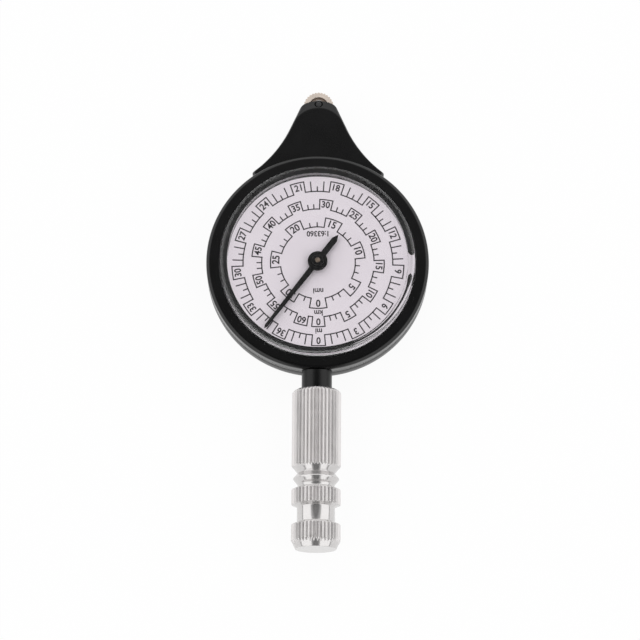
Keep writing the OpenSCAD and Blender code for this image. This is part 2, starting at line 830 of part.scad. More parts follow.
// Turned handle with ridged grip, grooves, band, waist and knob, pressed on the spigot
module handle() {
    color("#c9c8c6")
        translate([0, -neck_end, handle_z])
            rotate([90, 0, 0])
                difference() {
                    rotate_extrude()
                        polygon([
                            [0, 0],
                            [handle_r - top_bevel, 0],
                            [handle_r, top_bevel],
                            [handle_r, grip_l],
                            [groove_d / 2, groove_s],
                            [ridge_d / 2, crest_s - ridge_flat_l / 2],
                            [ridge_d / 2, crest_s + ridge_flat_l / 2],
                            [groove_d / 2, second_groove_s],
                            [groove_d / 2, band_s],
                            [handle_r, band_s + step_l],
                            [handle_r, band_s + band_l],
                            [waist_d / 2, waist_s],
                            [waist_d / 2, knob_s],
                            [handle_r, knob_s + step_l],
                            [handle_r, end_cone_s],
                            [end_d / 2, handle_l],
                            [0, handle_l],
                        ]);
                    ridge_cut(-over, groove_s);
                    ridge_cut(band_s, waist_s);
                    ridge_cut(knob_s, handle_l + over);
                    translate([0, 0, -over])
                        cylinder(d = spigot_d + 2 * press_gap, h = over + spigot_l + spigot_space);
                }
}

// Cuts the grooves between the ridges into the stretch of the handle from station a to station b
module ridge_cut(a, b) {
    crest_r = handle_r + ridge_cut_h;
    valley_r = handle_r - ridge_depth;
    translate([0, 0, a])
        difference() {
            cylinder(r = crest_r + over, h = b - a);
            translate([0, 0, -over])
                linear_extrude(b - a + 2 * over)
                    polygon([
                        for (i = [0:2 * ridges - 1])
                            (i % 2 == 0 ? crest_r : valley_r) * [cos(i * 180 / ridges), sin(i * 180 / ridges)]
                    ]);
        }
}

rear_case();
front_cover();
cover_screws();
bezel_ring();
crystal();
dial();
pointer();
centre_arbor();
centre_gear();
centre_bush();
rear_bush();
spring_washer();
first_gear();
first_gear_pin();
second_gear();
second_gear_pin();
tracing_wheel();
wheel_axle();
wheel_washers();
handle();
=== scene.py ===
import json
import math

import bmesh
import bpy
from mathutils import Matrix, Vector
from numpy import interp


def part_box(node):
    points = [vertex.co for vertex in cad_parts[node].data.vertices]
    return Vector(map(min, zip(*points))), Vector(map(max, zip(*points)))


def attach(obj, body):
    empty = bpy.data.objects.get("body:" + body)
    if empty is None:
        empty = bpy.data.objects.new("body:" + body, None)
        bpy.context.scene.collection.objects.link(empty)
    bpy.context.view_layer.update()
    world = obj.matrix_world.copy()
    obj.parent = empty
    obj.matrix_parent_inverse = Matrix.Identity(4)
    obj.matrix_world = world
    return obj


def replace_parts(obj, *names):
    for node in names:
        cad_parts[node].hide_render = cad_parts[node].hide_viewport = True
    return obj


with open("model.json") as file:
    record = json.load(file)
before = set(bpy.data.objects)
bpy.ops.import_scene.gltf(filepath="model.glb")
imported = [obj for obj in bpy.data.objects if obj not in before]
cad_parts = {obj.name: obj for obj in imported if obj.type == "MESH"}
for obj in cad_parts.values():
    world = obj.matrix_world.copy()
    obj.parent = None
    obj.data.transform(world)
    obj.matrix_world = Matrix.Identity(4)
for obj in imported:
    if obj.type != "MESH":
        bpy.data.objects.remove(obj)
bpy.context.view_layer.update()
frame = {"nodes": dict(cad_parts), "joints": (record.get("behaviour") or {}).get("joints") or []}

# Rear case: the back half of the case, one black moulding with the floor, the side wall, the lower half of
# the nose, the screw posts and the neck. The handle is pressed on the spigot at the end of the neck. Sizes
# here and below are in millimetres.
MM = 0.001
CASE_R, CAVITY_R, TRIM_R = 21.5, 20.1, 21.55
REAR_H, FLOOR_Z = 4.5, 1.0
BACK_EDGE_R, BACK_LEAD = 1.8, 0.1
NOSE_LEAN = 25
NOSE_OUT = Vector((math.cos(math.radians(NOSE_LEAN)), math.sin(math.radians(NOSE_LEAN))))
NOSE_FOOT, NOSE_CORNER_R = Vector((1.78, 31.29125)), 2.0
NOSE_WALL, NOSE_END_WALL = 1.0, 2.2
SHOULDER_ROUND = 0.5
SEAM = 0.12
SEAM_BULGE = 0.3 * SEAM
NECK_ROOT_Y = -20.8
NECK_L, NECK_R, NECK_EDGE = 4.4, 2.9, 0.2
SPIGOT_L, SPIGOT_R, SPIGOT_LEAD = 12.0, 2.3, 0.4
SCREW_CIRCLE_R = 17.046
POST_R, POST_FOOT = 1.7, 0.5
BOSS_R, BOSS_TOP = 1.2, 1.4
WHEEL_SLOT_R, WHEEL_SLOT_Z = 3.31, 2.3
SCREW_BORE_R, SCREW_BORE_Z = 0.77, 1.45
PIN_BORE_R, PIN_BORE_Z = 0.62, 0.4
AXLE_BORE_R, AXLE_BORE_Z = 0.67, 0.5
BUSH_BORE_R, BUSH_BORE_Z = 1.32, 0.2
OVERLAP, CLEAR_Z = 0.01, 12


def heights(node):
    """Lowest and highest point of a CAD node."""
    low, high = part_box(node)
    return low[2] / MM, high[2] / MM


pivot_ys = {joint["name"]: joint["pos_m"][1] / MM for joint in frame["joints"]}
AXLE_Y = pivot_ys["wheel_spin"]
GEAR_PIN_YS = (pivot_ys["first_gear_spin"], pivot_ys["second_gear_spin"])
HANDLE_Z = sum(heights("handle")) / 2


def arc(centre, radius, start, end, steps):
    """Points of an arc about a centre, between two angles in degrees."""
    turns = [math.radians(start + (end - start) * i / steps) for i in range(steps + 1)]
    return [(centre[0] + radius * math.cos(t), centre[1] + radius * math.sin(t)) for t in turns]


def soften(path, reach, steps=5):
    """Rounds every inner corner of an open path of points, starting this far before the corner."""
    most = 0.45
    points = [Vector(p) for p in path]
    smooth_path = [points[0]]
    for before, corner, after in zip(points, points[1:], points[2:]):
        near = min(reach, most * (before - corner).length, most * (after - corner).length)
        a = corner + (before - corner).normalized() * near
        b = corner + (after - corner).normalized() * near
        for i in range(steps + 1):
            t = i / steps
            smooth_path.append((1 - t) ** 2 * a + 2 * t * (1 - t) * corner + t * t * b)
    return [tuple(p) for p in smooth_path + points[-1:]]


def nose_half(inset, retreat=0.0):
    """Right half of the nose, from its blunt end to its shoulder. The inset moves the edge inwards, and
    the retreat draws the blunt end back along the flanks."""
    flank_l, crown_h, flare_r, flare_end = 5, 0.4, 24, 53
    along = Vector((NOSE_OUT.y, -NOSE_OUT.x))
    corner = NOSE_FOOT + retreat * along
    crown_r = (corner.x ** 2 + 2 * NOSE_CORNER_R * crown_h + crown_h ** 2) / (2 * crown_h)
    crown = Vector((0, corner.y + NOSE_CORNER_R + crown_h - crown_r))
    meet = math.degrees(math.atan2(corner.y - crown.y, corner.x))
    bend = NOSE_FOOT + (NOSE_CORNER_R + flare_r) * NOSE_OUT + flank_l * along
    flare = arc(bend, -(flare_r + inset), NOSE_LEAN, flare_end - math.degrees(inset / flare_r), 32)
    return (arc(crown, crown_r - inset, 90, meet, 8)
            + arc(corner, NOSE_CORNER_R - inset, meet, NOSE_LEAN, 16)[1:] + flare)


def rounded_shoulder(half, foot):
    """Half of the nose led on to a foot inside the round case, over a rounded corner at its shoulder."""
    return half[:-4] + soften([half[-4], half[-1], foot], SHOULDER_ROUND)


def case_outline(inset, wall_r, retreat=0.0):
    """Outline of the round case with its nose, down the right side and up the left."""
    half = nose_half(inset, retreat)
    shoulder = math.degrees(math.atan2(half[-1][1], half[-1][0]))
    wall = arc((0, 0), wall_r, shoulder, -90, 72)
    right = rounded_shoulder(half, wall[0]) + wall[1:]
    return right + [(-x, y) for x, y in right[-2:0:-1]]


def at_height(outline, z):
    """Points of a flat outline at one height."""
    return [(x, y, z) for x, y in outline]


def new_piece(name, mesh):
    """Turns a bmesh in millimetres into an object in metres, with its normals facing out."""
    bmesh.ops.recalc_face_normals(mesh, faces=mesh.faces[:])
    bmesh.ops.scale(mesh, vec=(MM, MM, MM), verts=mesh.verts[:])
    data = bpy.data.meshes.new(name)
    mesh.to_mesh(data)
    mesh.free()
    piece = bpy.data.objects.new(name, data)
    bpy.context.scene.collection.objects.link(piece)
    return piece


def skin(mesh, rings, through=False):
    """Faces between rings of points of one length: capped at both ends, or joined last to first."""
    rows = [[mesh.verts.new(p) for p in ring] for ring in rings]
    for low, high in zip(rows, rows[1:] + (rows[:1] if through else [])):
        for i in range(len(low)):
            mesh.faces.new((low[i - 1], low[i], high[i], high[i - 1]))
    if not through:
        mesh.faces.new(rows[0])
        mesh.faces.new(rows[-1][::-1])


def loft(name, rings, through=False):
    """Solid skinned over rings of points."""
    mesh = bmesh.new()
    skin(mesh, rings, through)
    return new_piece(name, mesh)


def turned(name, profile, steps=192):
    """Solid of revolution about Z of a closed profile of (radius, height) points."""
    mesh = bmesh.new()
    turns = [2 * math.pi * i / steps for i in range(steps)]
    rows = []
    for r, z in profile:
        if r:
            rows.append([mesh.verts.new((r * math.cos(t), r * math.sin(t), z)) for t in turns])
        else:
            rows.append([mesh.verts.new((0, 0, z))] * steps)
    for low, high in zip(rows, rows[1:] + rows[:1]):
        for i in range(steps):
            corners = list(dict.fromkeys((low[i - 1], low[i], high[i], high[i - 1])))
            if len(corners) > 2:
                mesh.faces.new(corners)
    return new_piece(name, mesh)


def rods(name, places, steps=64):
    """Several upright rods in one mesh, each given as (x, y, radius, foot, head)."""
    mesh = bmesh.new()
    for x, y, r, foot, head in places:
        round_ring = arc((x, y), r, 0, 360 - 360 / steps, steps - 1)
        skin(mesh, [at_height(round_ring, foot), at_height(round_ring, head)])
    return new_piece(name, mesh)


def combine(piece, tool, operation):
    """Boolean of two solids; the tool is used up."""
    step = piece.modifiers.new("combine", "BOOLEAN")
    step.object, step.operation, step.solver = tool, operation, "EXACT"
    ready = piece.evaluated_get(bpy.context.evaluated_depsgraph_get())
    made = bpy.data.meshes.new_from_object(ready)
    piece.modifiers.clear()
    piece.data = made
    bpy.data.objects.remove(tool)


def shade(piece, angle=32):
    """Smooth shading with sharp edges above an angle in degrees."""
    piece.data.shade_smooth()
    piece.data.set_sharp_from_angle(angle=math.radians(angle))


def rear_case_rings():
    """Rings up the back edge and the wall to the seam, then over the rim and down into the hollow."""
    levels = [(0, BACK_EDGE_R + BACK_LEAD)]
    for r, z in arc((BACK_EDGE_R, BACK_EDGE_R), BACK_EDGE_R, 270, 180, 8):
        levels.append((z, r))
    levels += [(REAR_H - SEAM, 0), (REAR_H - SEAM_BULGE, SEAM_BULGE), (REAR_H, SEAM)]
    rings = [at_height(case_outline(inset, CASE_R - inset), z) for z, inset in levels]
    hollow = case_outline(NOSE_WALL, CAVITY_R, NOSE_END_WALL)
    return rings + [at_height(hollow, REAR_H), at_height(hollow, FLOOR_Z)]


rear_case = loft("rear_case_shell", rear_case_rings())
spigot_end = NECK_L + SPIGOT_L
neck = turned("neck", [(0, 0), (NECK_R, 0)]
              + soften([(NECK_R, NECK_EDGE / 2), (NECK_R, NECK_L), (SPIGOT_R, NECK_L)], NECK_EDGE)
              + [(SPIGOT_R, spigot_end - SPIGOT_LEAD), (SPIGOT_R - SPIGOT_LEAD, spigot_end),
                 (0, spigot_end)], steps=96)
neck.data.transform(Matrix.Translation((0, NECK_ROOT_Y * MM, HANDLE_Z * MM))
                    @ Matrix.Rotation(math.radians(90), 4, "X"))
combine(neck, rods("neck_trim", [(0, 0, TRIM_R, REAR_H - OVERLAP, CLEAR_Z)], steps=192), "DIFFERENCE")
combine(rear_case, neck, "UNION")
combine(rear_case, rods("wheel_slot", [(0, AXLE_Y, WHEEL_SLOT_R, WHEEL_SLOT_Z, CLEAR_Z)], steps=128),
        "DIFFERENCE")
SCREW_PLACES = arc((0, 0), SCREW_CIRCLE_R, 30, 270, 2)
combine(rear_case, rods("posts", [
    *((x, y, POST_R, POST_FOOT, REAR_H) for x, y in SCREW_PLACES),
    *((0, y, BOSS_R, POST_FOOT, BOSS_TOP) for y in GEAR_PIN_YS)]), "UNION")
combine(rear_case, rods("bores", [
    *((x, y, SCREW_BORE_R, SCREW_BORE_Z, CLEAR_Z) for x, y in SCREW_PLACES),
    *((0, y, PIN_BORE_R, PIN_BORE_Z, CLEAR_Z) for y in GEAR_PIN_YS),
    (0, AXLE_Y, AXLE_BORE_R, AXLE_BORE_Z, CLEAR_Z), (0, 0, BUSH_BORE_R, BUSH_BORE_Z, CLEAR_Z)]), "DIFFERENCE")
shade(rear_case)

GRAIN_DEPTH = 0.02
NOISE_SPAN = (0.7, 1.3)


def add(tree, kind, values=(), **settings):
    """New shader node with its settings, and with its inputs set or linked."""
    node = tree.nodes.new(kind)
    for name, value in settings.items():
        setattr(node, name, value)
    for name, value in dict(values).items():
        if isinstance(value, bpy.types.NodeSocket):
            tree.links.new(value, node.inputs[name])
        else:
            node.inputs[name].default_value = value
    return node


def maths(tree, operation, first, second):
    """Result of a math node on two values."""
    return add(tree, "ShaderNodeMath", {0: first, 1: second}, operation=operation).outputs[0]


def noise(tree, place, scale, detail):
    """Cloudy noise over a place."""
    values = {"Vector": place, "Scale": scale, "Detail": detail}
    return add(tree, "ShaderNodeTexNoise", values).outputs["Fac"]


def remap(tree, value, span, low, high, **settings):
    """Value carried over from a span to the range between low and high."""
    return add(tree, "ShaderNodeMapRange", {"Value": value, "From Min": span[0], "From Max": span[1],
                                            "To Min": low, "To Max": high}, **settings).outputs[0]


def two_tone(tree, share, dark, light):
    """Colour between two tones; 6, 7 and 2 are the colour sockets of the mix node."""
    values = {"Factor": share, 6: (*dark, 1), 7: (*light, 1)}
    return add(tree, "ShaderNodeMix", values, data_type="RGBA").outputs[2]


def new_group(name, inputs, outputs):
    """Shader node group with float inputs and float outputs."""
    tree = bpy.data.node_groups.new(name, "ShaderNodeTree")
    for label, value in inputs.items():
        socket = tree.interface.new_socket(label, in_out="INPUT", socket_type="NodeSocketFloat")
        socket.default_value = value
    for label in outputs:
        tree.interface.new_socket(label, in_out="OUTPUT", socket_type="NodeSocketFloat")
    return tree, tree.nodes.new("NodeGroupInput").outputs, tree.nodes.new("NodeGroupOutput").inputs


def new_material(name):
    """Material with an empty node tree and its output."""
    material = bpy.data.materials.new(name)
    material.use_nodes = True
    material.node_tree.nodes.clear()
    return material, material.node_tree, material.node_tree.nodes.new("ShaderNodeOutputMaterial")


def moulded_grain_group():
    """Spark-eroded grain of a mould with broad cloudy patches: roughness, bump height and tone."""
    tree, given, put = new_group("moulded_grain", {"Grain": 5000, "Low": 0.3, "High": 0.5},
                                 ("Roughness", "Height", "Tone"))
    place = add(tree, "ShaderNodeTexCoord").outputs["Object"]
    grain = noise(tree, place, scale=given["Grain"], detail=2.0)
    cloud = noise(tree, place, scale=160.0, detail=3.0)
    rough = remap(tree, maths(tree, "ADD", grain, cloud), NOISE_SPAN, given["Low"], given["High"])
    for label, value in (("Roughness", rough), ("Height", grain), ("Tone", cloud)):
        tree.links.new(value, put[label])
    return tree


moulded_grain = moulded_grain_group()


def moulded(name, dark, light, rough, bump, grain=5000.0, gloss=0.5):
    """Moulded plastic between two tones, with its grain in the roughness and in a fine bump."""
    material, tree, out = new_material(name)
    finish = add(tree, "ShaderNodeGroup", {"Grain": grain, "Low": rough[0], "High": rough[1]},
                 node_tree=moulded_grain).outputs
    height = add(tree, "ShaderNodeBump", {"Height": finish["Height"], "Strength": bump,
                                          "Distance": GRAIN_DEPTH * MM})
    body = add(tree, "ShaderNodeBsdfPrincipled", {"Base Color": two_tone(tree, finish["Tone"], dark, light),
                                                  "Roughness": finish["Roughness"],
                                                  "Specular IOR Level": gloss,
                                                  "Normal": height.outputs[0]})
    tree.links.new(body.outputs[0], out.inputs[0])
    return material


def dress(piece, material):
    """Gives a piece its material."""
    piece.data.materials.clear()
    piece.data.materials.append(material)


case_black = moulded("case_black", (0.0020, 0.0020, 0.0021), (0.0032, 0.0032, 0.0034), rough=(0.25, 0.33),
                     bump=0.12, gloss=0.30)
dress(rear_case, case_black)
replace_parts(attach(rear_case, "case"), "rear_case")

# Gear train inside the case: moulded ivory gears on turned steel pins, brass bushes pressed into the case,
# a dished spring washer under the centre gear and two thin washers beside the tracing wheel.
MARK_DEPTH = 0.01


def turning_marks_group():
    """Fine marks of a lathe tool, read along its feed: roughness, bump height and tone."""
    tree, given, put = new_group("turning_marks", {"Feed": 0, "Density": 9000, "Low": 0.2, "High": 0.4},
                                 ("Roughness", "Height", "Tone"))
    travel = maths(tree, "MULTIPLY", given["Feed"], given["Density"])
    marks = add(tree, "ShaderNodeTexNoise", {"W": travel, "Scale": 1.0, "Detail": 3.0},
                noise_dimensions="1D").outputs["Fac"]
    haze = noise(tree, add(tree, "ShaderNodeTexCoord").outputs["Object"], scale=420.0, detail=4.0)
    rough = remap(tree, maths(tree, "ADD", marks, haze), NOISE_SPAN, given["Low"], given["High"])
    for label, value in (("Roughness", rough), ("Height", marks), ("Tone", haze)):
        tree.links.new(value, put[label])
    return tree


turning_marks = turning_marks_group()


def turned_metal(name, dark, light, rough, bump, axis="Z", centre_y=0.0, density=9000.0, metal=1.0):
    """Turned metal between two tones. On an upright part the feed runs out from its axis, on the handle
    it runs along Y."""
    material, tree, out = new_material(name)
    place = add(tree, "ShaderNodeTexCoord").outputs["Object"]
    if axis == "Y":
        feed = add(tree, "ShaderNodeSeparateXYZ", {0: place}).outputs["Y"]
    else:
        flat = add(tree, "ShaderNodeVectorMath", {0: place, 1: (1, 1, 0)}, operation="MULTIPLY")
        feed = add(tree, "ShaderNodeVectorMath", {0: flat.outputs[0], 1: (0, centre_y * MM, 0)},
                   operation="DISTANCE").outputs["Value"]
    finish = add(tree, "ShaderNodeGroup",
                 {"Feed": feed, "Density": density, "Low": rough[0], "High": rough[1]},
                 node_tree=turning_marks).outputs
    height = add(tree, "ShaderNodeBump", {"Height": finish["Height"], "Strength": bump,
                                          "Distance": MARK_DEPTH * MM})
    body = add(tree, "ShaderNodeBsdfPrincipled", {"Base Color": two_tone(tree, finish["Tone"], dark, light),
                                                  "Metallic": metal, "Roughness": finish["Roughness"],
                                                  "Normal": height.outputs[0]})
    tree.links.new(body.outputs[0], out.inputs[0])
    return material


gear_ivory = moulded("gear_ivory", (0.72, 0.68, 0.57), (0.82, 0.79, 0.69), rough=(0.4, 0.55), bump=0.2,
                     grain=3000.0)
pin_steel = turned_metal("pin_steel", (0.50, 0.50, 0.50), (0.62, 0.62, 0.61), rough=(0.25, 0.4), bump=0.2)
arbor_brass = turned_metal("arbor_brass", (0.23, 0.18, 0.14), (0.31, 0.25, 0.20), rough=(0.35, 0.5),
                           bump=0.3)
for material, nodes in ((gear_ivory, ("centre_gear", "second_gear", "first_gear")),
                        (pin_steel, ("first_gear_pin", "second_gear_pin", "spring_washer", "wheel_washers",
                                     "cover_screws")),
                        (arbor_brass, ("centre_bush", "rear_bush"))):
    for node in nodes:
        dress(frame["nodes"][node], material)

# Tracing wheel: a small toothed wheel of nickelled brass that rolls on the map, hobbed with 30 teeth and
# turned with a ring-shaped recess in each face, coloured darker as painted shade. A thin flange beside the
# gear leaves the teeth shallow at the front face. The wheel runs on a blackened steel axle fixed in the nose.
WHEEL_FOOT, WHEEL_HEAD = heights("tracing_wheel")
WHEEL_TIP_R, WHEEL_ROOT_R, WHEEL_BORE_R = 2.96, 2.544, 0.7
RECESS_R, RECESS_IN_R, RECESS_DEPTH = 1.9, 1.3, 0.35
RECESS_BEVEL_W, RECESS_BEVEL_H, RECESS_DRAFT = 0.08, 0.06, 0.04
FLANGE_FOOT, FLANGE_ROOT_R, FLANGE_TOOTH = 3.95, 2.8, 1.25
TOOTH_TRIM, TRIM_H, FLANGE_STEP = 0.1, 0.12, 0.02
WHEEL_EDGE = 0.05


def wheel_outline(trim, root_r=WHEEL_ROOT_R, thicker=1):
    """Outline of 30 involute teeth, with their tips cut back by the trim. A larger root and thicker teeth
    leave only a shallow scalloped edge."""
    teeth, module, pressure, slack = 30, 0.185, math.radians(20), 0.03
    pitch_r = module * teeth / 2
    base_r = pitch_r * math.cos(pressure)
    pitch_half = (module * math.pi / 2 - slack) / (2 * pitch_r)

    def half_width(r):
        roll = math.acos(min(1, base_r / r))
        return pitch_half + math.tan(pressure) - pressure - math.tan(roll) + roll

    radii = [WHEEL_ROOT_R] + [base_r + (WHEEL_TIP_R - base_r) * i / 3 for i in range(4)]
    shallow = (WHEEL_TIP_R - root_r) / (WHEEL_TIP_R - WHEEL_ROOT_R)
    side = [(WHEEL_TIP_R - trim - shallow * (WHEEL_TIP_R - r), thicker * half_width(max(r, base_r)))
            for r in radii]
    points = []
    for tooth in range(teeth):
        middle = 2 * math.pi * tooth / teeth - math.pi / 2
        turns = [(r, middle - half) for r, half in side] + [(r, middle + half) for r, half in side[::-1]]
        points += [(r * math.cos(t), AXLE_Y + r * math.sin(t)) for r, t in turns]
    return points


def wheel_rings():
    """Rings up the teeth and the flange, over the front face, down the bore and over the back face."""
    rim, cut_rim = (wheel_outline(trim) for trim in (0, TOOTH_TRIM))
    flange, cut_flange = (wheel_outline(trim, FLANGE_ROOT_R, FLANGE_TOOTH) for trim in (0, TOOTH_TRIM))

    def circle(r, z):
        spots = [Vector((x, y - AXLE_Y)).normalized() * r for x, y in rim]
        return [(p.x, p.y + AXLE_Y, z) for p in spots]

    face = [(RECESS_R + RECESS_BEVEL_W, 0), (RECESS_R, RECESS_BEVEL_H),
            (RECESS_R - RECESS_DRAFT, RECESS_DEPTH), (RECESS_IN_R, RECESS_DEPTH),
            (RECESS_IN_R - WHEEL_EDGE, WHEEL_EDGE), (RECESS_IN_R - 2 * WHEEL_EDGE, 0),
            (WHEEL_BORE_R + WHEEL_EDGE, 0), (WHEEL_BORE_R, WHEEL_EDGE)]
    upper = [circle(r, WHEEL_HEAD - depth) for r, depth in face]
    lower = [circle(r, WHEEL_FOOT + depth) for r, depth in face[::-1]]
    rims = [(cut_rim, WHEEL_FOOT), (rim, WHEEL_FOOT + TRIM_H), (rim, FLANGE_FOOT),
            (flange, FLANGE_FOOT + FLANGE_STEP), (flange, WHEEL_HEAD - TOOTH_TRIM), (cut_flange, WHEEL_HEAD)]
    return [at_height(outline, z) for outline, z in rims] + upper + lower


tracing_wheel = loft("tracing_wheel_toothed", wheel_rings(), through=True)
shade(tracing_wheel)
dress(tracing_wheel,
      turned_metal("wheel_nickel", (0.66, 0.58, 0.515), (0.82, 0.74, 0.665), rough=(0.55, 0.7), bump=0.3,
                   centre_y=AXLE_Y))
# Second material: a much darker brown for the recess faces, painted shade in the hollows of the wheel.
tracing_wheel.data.materials.append(
    turned_metal("wheel_recess", (0.30, 0.24, 0.20), (0.40, 0.33, 0.28), rough=(0.6, 0.75), bump=0.3,
                 centre_y=AXLE_Y))
# Faces inside the recess take the painted shade.
for face in tracing_wheel.data.polygons:
    reach = (face.center.xy / MM - Vector((0, AXLE_Y))).length
    face.material_index = int(RECESS_IN_R - WHEEL_EDGE < reach < RECESS_R)
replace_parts(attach(tracing_wheel, "wheel"), "tracing_wheel")

AXLE_FOOT, AXLE_HEAD = heights("wheel_axle")
AXLE_R, AXLE_EDGE, AXLE_LEAD, AXLE_ROUND, AXLE_FACE_R = 0.65, 0.15, 0.1, 0.05, 0.2
axle = turned("wheel_axle_pin", [(0, AXLE_FOOT)]
              + soften([(AXLE_R - AXLE_EDGE, AXLE_FOOT), (AXLE_R, AXLE_FOOT + AXLE_LEAD),
                        (AXLE_R, AXLE_HEAD - AXLE_EDGE), (AXLE_R - AXLE_EDGE, AXLE_HEAD),
                        (AXLE_FACE_R, AXLE_HEAD)], AXLE_ROUND) + [(0, AXLE_HEAD)], steps=64)
axle.data.transform(Matrix.Translation((0, AXLE_Y * MM, 0)))
shade(axle)
dress(axle, turned_metal("axle_black", (0.05, 0.05, 0.05), (0.09, 0.09, 0.092), rough=(0.4, 0.55), bump=0.3,
                         centre_y=AXLE_Y))
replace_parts(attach(axle, "case"), "wheel_axle")

# Front cover: the front half of the case, moulded in the same black and screwed on under the dial. Its nose
# lies on the rear case with a fine seam, and a bevel cuts an arch across the blunt end and runs out along
# the flanks.
COVER_RIM_Z, COVER_SEAT_R, COVER_EDGE = 5.3, 21.4, 0.06
COVER_STEP_Z, COVER_STEP_R = 6.2, 20.0
COVER_CUT_Z = 4
NOSE_Z, NOSE_BEVEL_Z, NOSE_LEAD, NOSE_ROUND = 6.1, 5.0, 0.4, 0.45
ARCH, ARCH_R, ARCH_SPLIT = Vector((0, 26.49)), 5.4, 64.7
FLANK_BEVEL = 0.3
NOSE_ROOT_R = 18.3
SCREW_HOLE_R, SCREW_SEAT_R = 0.85, 1.5
BUSH_HOLE_R = 1.62
AXLE_SEAT_R, AXLE_SEAT_Z = 0.84, 5.0


def nose_top_half(inset):
    """Right half of the flat top of the nose: an arch over its end, then along the flank and the flare."""
    r = ARCH_R - inset
    flank = NOSE_CORNER_R - FLANK_BEVEL - inset - (ARCH - NOSE_FOOT).dot(NOSE_OUT)
    arch_end = NOSE_LEAN + math.degrees(math.acos(flank / r))
    arch = arc(ARCH, r, 90, ARCH_SPLIT, 8) + arc(ARCH, r, ARCH_SPLIT, arch_end, 16)[1:]
    return arch + nose_half(FLANK_BEVEL + inset)[len(arch):]


def cover_nose_rings():
    """Rings of the nose from the seam up to its flat top, each led back into the round case."""
    path = soften([(REAR_H, SEAM, 0), (REAR_H + SEAM, 0, 0), (NOSE_BEVEL_Z, 0, 0), (NOSE_Z, 0, 1),
                   (NOSE_Z, NOSE_LEAD, 1)], NOSE_ROUND)
    rings = []
    for z, inset, rise in path:
        sides = zip(nose_half(inset), nose_top_half(inset))
        half = [tuple(Vector(edge).lerp(Vector(top), rise)) for edge, top in sides]
        right = rounded_shoulder(half, tuple(Vector(half[-1]).normalized() * NOSE_ROOT_R))
        rings.append(at_height(right + [(-x, y) for x, y in right[:0:-1]], z))
    return rings


front_cover = loft("front_cover_shell", cover_nose_rings())
combine(front_cover, turned("rim_seat", [
    (0, COVER_CUT_Z), (COVER_SEAT_R, COVER_CUT_Z), (COVER_SEAT_R, COVER_RIM_Z - OVERLAP),
    (TRIM_R, COVER_RIM_Z - OVERLAP), (TRIM_R, CLEAR_Z), (0, CLEAR_Z)]), "DIFFERENCE")
combine(front_cover, turned("rim", [
    (0, REAR_H + OVERLAP), (CASE_R - SEAM, REAR_H + OVERLAP), (CASE_R - SEAM_BULGE, REAR_H + SEAM_BULGE),
    (CASE_R, REAR_H + SEAM), (CASE_R, COVER_RIM_Z - COVER_EDGE), (CASE_R - COVER_EDGE, COVER_RIM_Z),
    (COVER_STEP_R, COVER_RIM_Z), (COVER_STEP_R, COVER_STEP_Z), (0, COVER_STEP_Z)]), "UNION")
combine(front_cover, rods("cover_bores", [
    *((x, y, SCREW_HOLE_R, COVER_CUT_Z, CLEAR_Z) for x, y in SCREW_PLACES),
    *((0, y, PIN_BORE_R, COVER_CUT_Z, COVER_RIM_Z) for y in GEAR_PIN_YS),
    (0, AXLE_Y, AXLE_BORE_R, COVER_CUT_Z, CLEAR_Z), (0, 0, BUSH_HOLE_R, COVER_CUT_Z, CLEAR_Z)]), "DIFFERENCE")
combine(front_cover, rods("head_seats", [
    *((x, y, SCREW_SEAT_R, COVER_RIM_Z, CLEAR_Z) for x, y in SCREW_PLACES),
    (0, AXLE_Y, AXLE_SEAT_R, AXLE_SEAT_Z, CLEAR_Z)]), "DIFFERENCE")
shade(front_cover)
dress(front_cover, case_black)
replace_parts(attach(front_cover, "case"), "front_cover")

# Dial: a thin white disc with a lilac cast, held on the step of the cover by the crystal. A black band of
# painted shade near its rim stands for the dark in the rim of the window: it is drawn slightly oval, thins
# to a line at the lower right and is open on the right. Three ring scales are printed in black, each
# a line that steps out round its numbers, with ticks between them.
DIAL_Z, DIAL_TOP = heights("dial")
DIAL_R, DIAL_HOLE_R = 19.9, 1.2
# Radii of the painted shade band near the dial's rim, with its edges listed by angle in degrees.
SHADE_BAND_R, SHADE_BAND_OUT_R, HIDDEN_R = 17.5, 19.6, 19.0
SHADE_BAND_SHIFT, SHADE_BAND_SQUEEZE = Vector((0.05, -0.02, 0)), 0.9905
INNER_EDGE = ((-80, SHADE_BAND_R), (-66, 17.58), (-42, 17.6), (-30, 17.7), (-16, 17.75), (-12, 17.62),
              (-8, 17.62), (-6, HIDDEN_R), (3, HIDDEN_R), (5, SHADE_BAND_R))
OUTER_EDGE = ((-80, SHADE_BAND_OUT_R), (-66, 17.9), (-42, 17.85), (-16, 17.95), (-12, SHADE_BAND_OUT_R))

dial = turned("dial_disc", [
    (DIAL_HOLE_R, DIAL_Z), (DIAL_R, DIAL_Z), (DIAL_R, DIAL_TOP), (SHADE_BAND_OUT_R, DIAL_TOP),
    (SHADE_BAND_R, DIAL_TOP), (DIAL_HOLE_R, DIAL_TOP)], steps=240)
shade(dial)
dress(dial, moulded("dial_white", (0.775, 0.715, 0.765), (0.820, 0.760, 0.810), rough=(0.45, 0.55),
                    bump=0.06, grain=2500.0))
# Second material: near black, painted shade laid on the dial's top where the window's rim looks dark.
dial.data.materials.append(
    moulded("rim_painted_shade", (0.003, 0.003, 0.003), (0.005, 0.005, 0.005), rough=(0.4, 0.6), bump=0.1))
for face in dial.data.polygons:
    on_painted_shade = SHADE_BAND_R < face.center.xy.length / MM < SHADE_BAND_OUT_R
    face.material_index = int(on_painted_shade and face.normal.z > 0.5)
